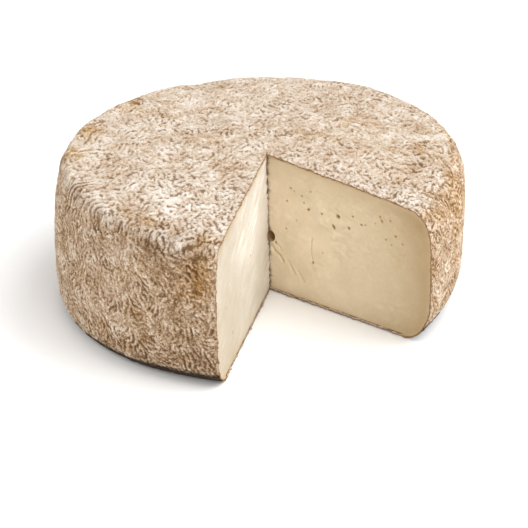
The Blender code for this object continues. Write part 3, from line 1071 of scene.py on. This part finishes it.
def sunk(points, direction, holes, hole_share):
    """Points of a cut face with gas holes sunk into it.

    A hole is an ellipsoid about a point of the face. Each point of the face inside it moves along a
    ray from an eye in front of the face until it meets the ellipsoid's far wall.
    """
    along = np.array([math.cos(direction), math.sin(direction), 0.0])
    inwards = inwards_from(direction)
    upwards = np.array([0.0, 0.0, 1.0])
    eye = np.array([0.0, -0.55, 0.0])
    for out, up, width, height, depth, lean in holes:
        middle = place(direction, out / 1000, up / 1000)
        long_axis = along * math.cos(lean) - upwards * math.sin(lean)
        short_axis = along * math.sin(lean) + upwards * math.cos(lean)
        axes = np.stack([long_axis, inwards, short_axis])
        radii = np.array([width / 2, depth, height / 2]) / 1000
        local = (points - middle) @ axes.T / radii
        inside = (local**2).sum(axis=-1) < 1
        ray = local[inside] - eye
        square = (ray**2).sum(axis=-1)
        lined = ray @ eye
        reach = (-lined + np.sqrt(lined**2 - square * (eye @ eye - 1))) / square
        moved = eye + reach[:, None] * ray
        points[inside] = middle + (moved * radii) @ axes
        # The hole's share is painted shade: it darkens the inside of a hole with its depth
        hole_share[inside] = np.maximum(hole_share[inside], np.clip(1.3 * moved[:, 1], 0, 1))


def crack_depth(out, up, crack):
    """Depth of a crack: a Gaussian of the distance from its path of straight stretches, less a share
    of itself that grows with the distance's square and leaves a raised lip on each side."""
    width, depth, path = crack
    nearest = np.full(out.shape, 1e9)
    for start, end in zip(path, path[1:]):
        start, end = np.array(start) / 1000, np.array(end) / 1000
        step = end - start
        share = ((out - start[0]) * step[0] + (up - start[1]) * step[1]) / (step @ step)
        share = np.clip(share, 0, 1)
        distance = np.hypot(out - start[0] - share * step[0], up - start[1] - share * step[1])
        nearest = np.minimum(nearest, distance)
    square = (nearest / (width / 1000)) ** 2
    return depth / 1000 * (1 - CRACK_LIP * square) * np.exp(-square)


def even_line(count, line):
    """A line of distances out and heights, as points at even steps."""
    return np.stack(evenly(count, *line)[:2], axis=-1)


def coons_patch(direction, sizes):
    """Distances out and heights of a grid over a cut face, and the grid's own shares across and up.

    It is a Coons patch: the two rulings between opposite edges, less the bilinear patch of the
    corners.
    """
    bottom, right, top = paste_outline(np.array([direction]), sizes.rind_thickness * PASTE_TUCK, sizes)
    low = even_line(PASTE_ACROSS, bottom)[0]
    side = even_line(PASTE_UP, right)[0]
    high = even_line(PASTE_ACROSS, top)[0][::-1]
    share = np.linspace(0, 1, PASTE_UP + 1)[:, None]
    knife = low[0] * (1 - share) + high[0] * share
    a = np.linspace(0, 1, PASTE_ACROSS + 1)[:, None, None]
    b = np.linspace(0, 1, PASTE_UP + 1)[None, :, None]
    patch = (1 - b) * low[:, None] + b * high[:, None] + (1 - a) * knife[None] + a * side[None]
    patch -= (1 - a) * ((1 - b) * low[0] + b * high[0]) + a * ((1 - b) * low[-1] + b * high[-1])
    return patch[..., 0], patch[..., 1], a[..., 0], b[..., 0]


def face_shade(face, distances):
    """Painted shade of the paste, together with its own darkening towards the rind, and painted light where a
    fade is negative: a base, plus fades, each the exponential of minus a power of a distance over its reach,
    plus smooth steps."""
    shade = np.full_like(distances["base"], face.shade)
    for name, strength, reach, power in face.fades:
        shade += strength * np.exp(-((distances[name] / reach) ** power))
    for name, strength, start, end in face.steps:
        shade += strength * smooth_step(distances[name], start, end)
    return shade


def torn_nick(up, b):
    """How torn the knife's line is at each height: two ragged lines about a mean, none at the base."""
    torn = sum(strength * ragged_line(squeeze * up, seed) for strength, squeeze, seed in NICK_LINES)
    return np.clip(torn + NICK_MEAN, *NICK_LIMITS) * smooth_step(b, 0, 0.01)


def cut_face(face, sizes):
    """Grid of points and values over one cut face, from the knife's line out and from the base up.

    Knife drag, cracks, torn nicks along the knife's line and gas holes are sunk into it.
    """
    out, up, a, b = coons_patch(face.direction, sizes)
    distances = {"rim": (1 - a) * WHEEL_RADIUS, "top": (1 - b) * WHEEL_RADIUS, "base": up, "knife": out}
    to_edge = np.minimum(np.minimum(1 - b, b * BASE_EDGE) * SHOULDER_HEIGHT, distances["rim"])
    smear_size, *sizes_left = FACE_DRIFTS
    smears = drift(FACE_FIELD, smear_size, face.seed, (1.0, face.drawn))
    smear = read_field(smears, out, up + face.slant * out)
    grain, blot, pull = (
        read_field(drift(FACE_FIELD, size, face.seed + number), out, up)
        for number, size in enumerate(sizes_left, 1)
    )
    smear = smear * np.clip(SMEAR_MEAN + SMEAR_CHANGE * pull, *SMEAR_LIMITS)
    calm = smooth_step(to_edge, 0, FACE_EDGE) * smooth_step(out, 0, FACE_EDGE)
    depth = sizes.knife_drag * (smear + FACE_GRAIN * grain) * calm * face.relief
    # Painted shade in the cracks, growing with their depth
    mark = np.zeros_like(out)
    for crack in face.cracks:
        sunk_by = crack_depth(out, up, crack)
        depth += sunk_by
        mark = np.maximum(mark, sunk_by / CRACK_FULL_DEPTH)
    torn = torn_nick(up, b)
    nick = np.exp(-((out / (NICK_WIDTH + NICK_TORN_WIDTH * torn)) ** 2))
    points = place(face.direction, out, up) + depth[..., None] * inwards_from(face.direction)
    points[..., 1] += sizes.knife_nick * torn * nick
    wander = WANDER * ragged_line(up, WANDER_SEED) * smooth_step(b, 0, 0.02) * smooth_step(b, 1, 0.98)
    points[..., 0] += wander * np.exp(-((out / WANDER_REACH) ** 2))
    hole, corner = np.zeros_like(out), np.zeros_like(out)
    sunk(points, face.direction, face.holes, hole)
    sunk(points, LEADING, CORNER_HOLES, corner)
    # Painted shade inside the torn hole at the knife's line
    if face is LEADING_FACE:
        slanted = out + CORNER_SHADE_SLANT * (up - CORNER_HOLES[0][1] / 1000)
        dark = CORNER_HOLE_SHADE[0] * corner * smooth_step(slanted, *CORNER_SHADE_REACH)
    else:
        dark = CORNER_HOLE_SHADE[1] * corner
    rust_reach, rust, rust_mottle = face.rust
    # Painted light: a pool of paler paste low on the cut faces, lifting the notch's shade
    painted_light = PAINTED_LIGHT * np.exp(-((out - PAINTED_LIGHT_OUT) ** 2 + (up - PAINTED_LIGHT_UP) ** 2) / PAINTED_LIGHT_REACH**2)
    # The hole, crack and warm values are painted shade. Shade is painted shade with the paste's own darkening
    # towards the rind. Nick is a brown torn line darkened partly as painted shade. Blot holds painted light
    # besides real blots.
    values = {
        "hole": np.maximum(hole, corner),
        "mark": np.clip(mark, 0, 1),
        "nick": np.maximum(nick * np.clip(NICK_DARK + NICK_TORN_DARK * torn, 0, NICK_DARKEST), dark),
        "under_rind": face.under_rind * np.exp(-to_edge / UNDER_RIND_REACH),
        "rust": zero_line(to_edge, rust_reach) * np.clip(rust + rust_mottle * grain, 0, 1),
        # Painted warm shade: the leading face, which is in shade, is tinted warm all over
        "warm": np.full_like(out, face.warm),
        "shade": face_shade(face, distances),
        "smear": smear * face.smear,
        # Painted light: paler paste towards the knife's line and in the pool, lifting the notch's shade; the
        # rest is real blots
        "blot": blot + face.pale * np.exp(-out / PAINTED_LIGHT_KNIFE_REACH) + painted_light,
    }
    return points, values


def make_paste(sizes, material):
    """The paste: two fine cut faces that share the knife's line, and a coarse hidden skin behind."""
    piece = Piece()
    leading_points, leading_values = cut_face(LEADING_FACE, sizes)
    trailing_points, trailing_values = cut_face(TRAILING_FACE, sizes)
    leading = piece.add(leading_points, **leading_values)
    rest = piece.add(trailing_points[1:], **{name: value[1:] for name, value in trailing_values.items()})
    trailing = np.concatenate([leading[:1], rest])
    piece.grid(leading)
    piece.grid(trailing, True)
    direction = LEADING + WHEEL_ANGLE * np.arange(1, PASTE_HIDDEN_COLUMNS) / PASTE_HIDDEN_COLUMNS
    outline = paste_outline(direction, sizes.hidden_rind_thickness * HIDDEN_TUCK, sizes)
    counts = (PASTE_ACROSS, PASTE_UP, PASTE_ACROSS)
    bottom, right, top = (even_line(count // HIDDEN_ROW_STEP, line) for count, line in zip(counts, outline))
    skin = np.concatenate([bottom[:, 1:], right[:, 1:], top[:, 1:-1]], axis=1)
    inner = piece.add(place(direction[:, None], skin[..., 0], skin[..., 1]))
    foot, head = leading[0, 0], leading[0, -1]
    piece.grid(inner)
    piece.fan(inner[::-1, 0], foot)
    piece.fan(inner[:, -1], head)
    for face, column, flip in ((leading, inner[0], True), (trailing, inner[-1], False)):
        outline = np.concatenate([face[:, 0], face[-1, 1:], face[-2::-1, -1]])
        piece.strip(outline, np.concatenate([[foot], column, [head]]), flip)
    piece.make("paste", material, "paste")


class Finish:
    """A node material under construction."""

    def __init__(self, name):
        self.material = bpy.data.materials.new(name)
        self.material.use_nodes = True
        self.tree = self.material.node_tree
        self.shader = self.tree.nodes["Principled BSDF"]

    def node(self, kind, **settings):
        node = self.tree.nodes.new(kind)
        for name, value in settings.items():
            setattr(node, name, value)
        return node

    def link(self, output, socket):
        self.tree.links.new(output, socket)

    def value(self, name):
        """The piece's own finish value of that name."""
        return self.node("ShaderNodeAttribute", attribute_name=name).outputs["Fac"]

    def noise(self, size, detail, roughness):
        """Noise with blots of about that size in metres, on the piece's own coordinates."""
        noise = self.node("ShaderNodeTexNoise")
        noise.inputs["Scale"].default_value = 1 / size
        noise.inputs["Detail"].default_value = detail
        noise.inputs["Roughness"].default_value = roughness
        self.link(self.node("ShaderNodeTexCoord").outputs["Object"], noise.inputs["Vector"])
        return noise.outputs["Fac"]

    def math(self, operation, first, second=0.0, third=0.0, clamp=False):
        node = self.node("ShaderNodeMath", operation=operation, use_clamp=clamp)
        for socket, value in zip(node.inputs, (first, second, third)):
            self.feed(socket, value)
        return node.outputs["Value"]

    def feed(self, socket, value):
        if isinstance(value, bpy.types.NodeSocket):
            self.link(value, socket)
        else:
            socket.default_value = value

    def mix(self, share, first, second, blend="MIX"):
        """Mixes two colours by a share, in one of the mix node's ways."""
        node = self.node("ShaderNodeMix", data_type="RGBA", blend_type=blend, clamp_factor=True)
        self.feed(node.inputs[0], share)
        self.feed(node.inputs[6], first)
        self.feed(node.inputs[7], second)
        return node.outputs[2]

    def coats(self, colour, colours, coats, tint=False):
        """Lays colours over a colour, or tints it with them, each by a finish value and a strength."""
        for name, strength, cover_name in coats:
            cover = getattr(colours, cover_name)
            if tint:
                cover = self.mix(1.0, colour, cover, "MULTIPLY")
            colour = self.mix(self.math("MULTIPLY", self.value(name), strength), colour, cover)
        return colour

    def ramp(self, share, *stops):
        """A colour by a share, from stops of a share and a colour each."""
        node = self.node("ShaderNodeValToRGB")
        elements = node.color_ramp.elements
        while len(elements) < len(stops):
            elements.new(0.5)
        for element, (position, colour) in zip(elements, stops):
            element.position = position
            element.color = colour
        self.feed(node.inputs["Fac"], share)
        return node.outputs["Color"]

    def done(self, colour, settings):
        """The finished material, with that base colour and those constants of its shader."""
        self.link(colour, self.shader.inputs["Base Color"])
        for name, value in settings.items():
            self.shader.inputs[name].default_value = value
        return self.material

    def bump(self, height, distance, strength):
        """Bump of the finished surface by a height from 0 to 1 over a distance."""
        node = self.node("ShaderNodeBump")
        node.inputs["Strength"].default_value = strength
        node.inputs["Distance"].default_value = distance
        self.link(height, node.inputs["Height"])
        self.link(node.outputs["Normal"], self.shader.inputs["Normal"])


def rind_finish(colours):
    """Dry, brushed rind: brown furrows, tan flanks and pale ridges, with bloom, ochre and grey.

    Made once and shared by the rind's pieces.
    """
    if "rind_skin" in bpy.data.materials:
        return bpy.data.materials["rind_skin"]
    finish = Finish("rind_skin")
    grain = finish.math("MULTIPLY_ADD", finish.noise(*RIND_NOISE), 1.7, -0.85)
    tone = finish.math("ADD", finish.value("tone"), grain)
    side, top = (
        finish.ramp(tone, *((stop, getattr(colours, part + level)) for stop, level in RIND_STOPS))
        for part in ("side_", "top_")
    )
    colour = finish.mix(finish.value("pale"), side, top)
    colour = finish.coats(colour, colours, RIND_TINTS, True)
    on_ridges = finish.math("MULTIPLY_ADD", tone, 1.6, -0.35)
    bloom = finish.math("MULTIPLY", finish.value("bloom"), on_ridges, clamp=True)
    colour = finish.mix(bloom, colour, colours.bloom)
    colour = finish.coats(colour, colours, RIND_COATS)
    finish.link(finish.math("MULTIPLY_ADD", tone, -0.12, 0.92), finish.shader.inputs["Roughness"])
    finish.bump(finish.noise(*RIND_BUMP_NOISE), *BUMP)
    return finish.done(colour, RIND_SHADER)


def paste_finish(colours):
    """Ivory paste: deeper towards the rind, partly as painted shade, with faint smears, painted light towards
    the knife's line, olive holes and cracks darkened as painted shade, and a torn brown line that is partly
    painted shade.
    """
    finish = Finish("paste")
    smear = finish.math("MULTIPLY_ADD", finish.value("smear"), 0.06, 0.5)
    blot = finish.math("MULTIPLY_ADD", finish.value("blot"), 0.04, smear)
    mottle = finish.math("MULTIPLY_ADD", finish.noise(*MOTTLE_NOISE), 0.13, -0.065)
    tone = finish.math("ADD", blot, mottle, clamp=True)
    colour = finish.ramp(tone, *((stop, getattr(colours, name)) for stop, name in PASTE_STOPS))
    fleck_tint = finish.ramp(finish.noise(*FLECK_NOISE), (0.3, (0.94, 0.93, 0.90, 1)), (0.62, (1, 1, 1, 1)))
    colour = finish.mix(1.0, colour, fleck_tint, "MULTIPLY")
    colour = finish.coats(colour, colours, PASTE_TINTS, True)
    colour = finish.coats(colour, colours, PASTE_COATS)
    # Painted shade: the deepest part of each hole darkens further towards the nick's colour
    deep = finish.math("MULTIPLY_ADD", finish.value("hole"), 3.0, -2.0, clamp=True)
    colour = finish.mix(finish.math("MULTIPLY", deep, 0.45), colour, colours.nick)
    colour = finish.coats(colour, colours, NICK_COAT)
    finish.bump(finish.noise(*PASTE_BUMP_NOISE), *BUMP)
    return finish.done(colour, PASTE_SHADER)


def from_angles(direction, height):
    """Unit vector towards a direction round the wheel and an angle above the floor."""
    flat = math.cos(height)
    return Vector((math.cos(direction) * flat, math.sin(direction) * flat, math.sin(height)))


def make_light(name, turn, height, distance, size, power, colour):
    """A square soft light that looks at the wheel. Its turn is from the camera's side, to the right."""
    data = bpy.data.lights.new(name, "AREA")
    data.shape = "SQUARE"
    data.size = size
    data.energy = power
    data.color = colour
    light = bpy.data.objects.new(name, data)
    bpy.context.collection.objects.link(light)
    away = from_angles(CAMERA_FROM + math.radians(turn), math.radians(height))
    light.location = away * distance + LIGHT_AIM
    light.rotation_euler = away.to_track_quat("Z", "Y").to_euler()


def make_camera():
    """Looks down at the wheel, rolled a little, with the photograph's focal length."""
    forward = -from_angles(CAMERA_FROM, CAMERA_PITCH)
    right = forward.cross(Vector((0, 0, 1))).normalized()
    up = right.cross(forward)
    rolled_right = right * math.cos(CAMERA_ROLL) - up * math.sin(CAMERA_ROLL)
    rolled_up = right * math.sin(CAMERA_ROLL) + up * math.cos(CAMERA_ROLL)
    data = bpy.data.cameras.new("camera")
    data.sensor_width = SENSOR_WIDTH
    data.lens = CAMERA_FOCUS_PIXELS / PHOTO_WIDTH * SENSOR_WIDTH
    camera = bpy.data.objects.new("camera", data)
    axes = Matrix((rolled_right, rolled_up, -forward)).transposed().to_4x4()
    camera.matrix_world = Matrix.Translation(CAMERA_TARGET - forward * CAMERA_DISTANCE) @ axes
    bpy.context.collection.objects.link(camera)
    bpy.context.scene.camera = camera


def make_floor(colours):
    """A wide pale floor just under the wheel, five metres square, with the faintest of clouds."""
    half, low = 2.5, -0.0002
    corners = [(x * half, y * half, low) for x, y in ((-1, -1), (1, -1), (1, 1), (-1, 1))]
    mesh = bpy.data.meshes.new("floor")
    mesh.from_pydata(corners, [], [(0, 1, 2, 3)])
    finish = Finish("floor")
    shadow = tuple(0.985 * channel for channel in colours.floor[:3]) + (1.0,)
    colour = finish.ramp(finish.noise(*FLOOR_NOISE), (0.35, shadow), (0.65, colours.floor))
    mesh.materials.append(finish.done(colour, FLOOR_SHADER))
    floor = bpy.data.objects.new("floor", mesh)
    bpy.context.collection.objects.link(floor)


def make_world(strength):
    """Even white light from all round."""
    world = bpy.data.worlds.new("studio")
    world.use_nodes = True
    background = world.node_tree.nodes["Background"]
    background.inputs["Color"].default_value = (1.0, 1.0, 1.0, 1.0)
    background.inputs["Strength"].default_value = strength
    bpy.context.scene.world = world


def size_property(name, description, default):
    """A length in metres."""
    return FloatProperty(name=name, description=description, default=default, unit="LENGTH", precision=5)


def colour_property(name, description, red, green, blue):
    """A linear colour."""
    return FloatVectorProperty(
        name=name,
        description=description,
        default=(red, green, blue, 1.0),
        size=4,
        subtype="COLOR",
        min=0,
        max=1,
    )


class TommeSizes(bpy.types.PropertyGroup):
    """Sizes of the rind's and the paste's detail"""

    wrinkle_width: size_property("Wrinkle width", "From one furrow of the rind to the next", 0.0030)
    wrinkle_depth: size_property("Wrinkle depth", "From a furrow's bottom to a ridge", 0.00052)
    pit_depth: size_property("Pit depth", "How much deeper the dark pits are", 0.00022)
    thread_height: size_property("Thread height", "Height of the thin ridges on the wrinkles", 0.00026)
    lump_height: size_property("Lump height", "Height of the rind's small lumps", 0.00012)
    rind_thickness: size_property("Rind thickness", "Thickness of the rind where it is cut", 0.0013)
    base_thickness: size_property("Base thickness", "Thickness of the rind underneath", 0.0018)
    hidden_rind_thickness: size_property("Hidden thickness", "Thickness away from the cuts", 0.0026)
    knife_drag: size_property("Knife drag", "Relief that the knife left on the cut faces", 0.00008)
    knife_nick: size_property("Knife nick", "Depth of the nicks along the knife's line", 0.00035)


class TommeColours(bpy.types.PropertyGroup):
    """Colours of the rind, the paste and the floor"""

    side_furrow: colour_property("Side furrow", "Furrows of the side", 0.135, 0.077, 0.036)
    side_flank: colour_property("Side flank", "Flanks of the side's wrinkles", 0.335, 0.222, 0.132)
    side_ridge: colour_property("Side ridge", "Ridges of the side", 0.49, 0.36, 0.245)
    side_crest: colour_property("Side crest", "Palest ridges of the side", 0.67, 0.58, 0.475)
    top_furrow: colour_property("Top furrow", "Furrows of the top", 0.235, 0.15, 0.089)
    top_flank: colour_property("Top flank", "Flanks of the top's wrinkles", 0.405, 0.305, 0.22)
    top_ridge: colour_property("Top ridge", "Ridges of the top", 0.53, 0.445, 0.36)
    top_crest: colour_property("Top crest", "Palest ridges of the top", 0.66, 0.60, 0.535)
    # Foot is the colour of the painted contact shade under the heel
    foot: colour_property("Foot", "Dark line where the side curls under", 0.018, 0.010, 0.005)
    # Pit also colours the painted contact shade along the base's cut edges
    pit: colour_property("Pit", "Dashes and pits", 0.105, 0.053, 0.023)
    ochre: colour_property("Ochre", "Tint of the ochre patches", 0.88, 0.70, 0.40)
    grey: colour_property("Grey", "Tint of the grey patches", 0.80, 0.80, 0.82)
    bloom: colour_property("Bloom", "White bloom", 0.68, 0.635, 0.58)
    rim: colour_property("Rim", "Cut edge of the rind", 0.20, 0.10, 0.034)
    paste: colour_property("Paste", "Paste of the cheese", 0.650, 0.602, 0.525)
    paste_pale: colour_property("Pale paste", "Palest smears of the paste", 0.805, 0.76, 0.695)
    paste_deep: colour_property("Deep paste", "Darkest paste", 0.595, 0.525, 0.425)
    paste_edge: colour_property("Edge paste", "Paste right under the rind", 0.52, 0.40, 0.25)
    # Tint of the painted shade on the cut faces, which also holds the paste's own darkening towards the rind
    paste_shade: colour_property("Shaded paste", "Tint of the paste towards the rind", 0.54, 0.45, 0.31)
    # Painted warm shade of the leading face
    paste_painted_warm_shade: colour_property("Warm paste", "Tint of the paste in the leading face", 1.0, 0.892, 0.718)
    rust: colour_property("Rust", "Stain that the rind left on the paste", 0.42, 0.24, 0.09)
    # Painted shade in the cracks and knife marks
    mark: colour_property("Mark", "Cracks and knife marks", 0.50, 0.37, 0.17)
    # Painted shade inside the gas holes
    hole: colour_property("Hole", "Inside of the gas holes", 0.36, 0.21, 0.055)
    # A brown torn line, darkened partly as painted shade in the crevice
    nick: colour_property("Nick", "Torn line where the cut faces meet", 0.15, 0.072, 0.016)
    floor: colour_property("Floor", "Pale floor", 0.90, 0.90, 0.90)


class TOMME_OT_side(bpy.types.Operator):
    """Makes the wrinkled rind of the side"""

    bl_idname = "tomme.side"
    bl_label = "Rind of the side"

    def execute(self, context):
        scene = context.scene
        make_side(scene.tomme_sizes, rind_finish(scene.tomme_colours))
        return {"FINISHED"}


class TOMME_OT_top(bpy.types.Operator):
    """Makes the wrinkled rind of the top"""

    bl_idname = "tomme.top"
    bl_label = "Rind of the top"

    def execute(self, context):
        scene = context.scene
        make_top(scene.tomme_sizes, rind_finish(scene.tomme_colours))
        return {"FINISHED"}


class TOMME_OT_base(bpy.types.Operator):
    """Makes the flat rind underneath"""

    bl_idname = "tomme.base"
    bl_label = "Rind of the base"

    def execute(self, context):
        scene = context.scene
        make_base(scene.tomme_sizes, rind_finish(scene.tomme_colours))
        return {"FINISHED"}


class TOMME_OT_paste(bpy.types.Operator):
    """Makes the paste with its two cut faces"""

    bl_idname = "tomme.paste"
    bl_label = "Paste"

    def execute(self, context):
        scene = context.scene
        make_paste(scene.tomme_sizes, paste_finish(scene.tomme_colours))
        return {"FINISHED"}


class TOMME_OT_stage(bpy.types.Operator):
    """Makes the floor, the lights and the camera"""

    bl_idname = "tomme.stage"
    bl_label = "Stage"

    def execute(self, context):
        context.scene.view_settings.view_transform = "Standard"
        make_floor(context.scene.tomme_colours)
        make_world(WORLD_STRENGTH)
        for light in LIGHTS:
            make_light(*light)
        make_camera()
        return {"FINISHED"}


class TOMME_PT_panel(bpy.types.Panel):
    """Lists the sizes, the colours and the pieces"""

    bl_idname = "TOMME_PT_panel"
    bl_label = "Tomme"
    bl_space_type = "VIEW_3D"
    bl_region_type = "UI"
    bl_category = "Tomme"

    def draw(self, context):
        for group in (context.scene.tomme_sizes, context.scene.tomme_colours):
            box = self.layout.box()
            for name in group.__annotations__:
                box.prop(group, name)
        for operator in OPERATORS:
            self.layout.operator(operator.bl_idname)


OPERATORS = (TOMME_OT_side, TOMME_OT_top, TOMME_OT_base, TOMME_OT_paste, TOMME_OT_stage)
CLASSES = (TommeSizes, TommeColours, *OPERATORS, TOMME_PT_panel)


def register():
    for cls in CLASSES:
        bpy.utils.register_class(cls)
    bpy.types.Scene.tomme_sizes = PointerProperty(type=TommeSizes)
    bpy.types.Scene.tomme_colours = PointerProperty(type=TommeColours)


def unregister():
    del bpy.types.Scene.tomme_colours
    del bpy.types.Scene.tomme_sizes
    for cls in reversed(CLASSES):
        bpy.utils.unregister_class(cls)


def main():
    register()
    pieces = bpy.ops.tomme
    for make in (pieces.side, pieces.top, pieces.base, pieces.paste, pieces.stage):
        make()


if __name__ == "__main__":
    main()
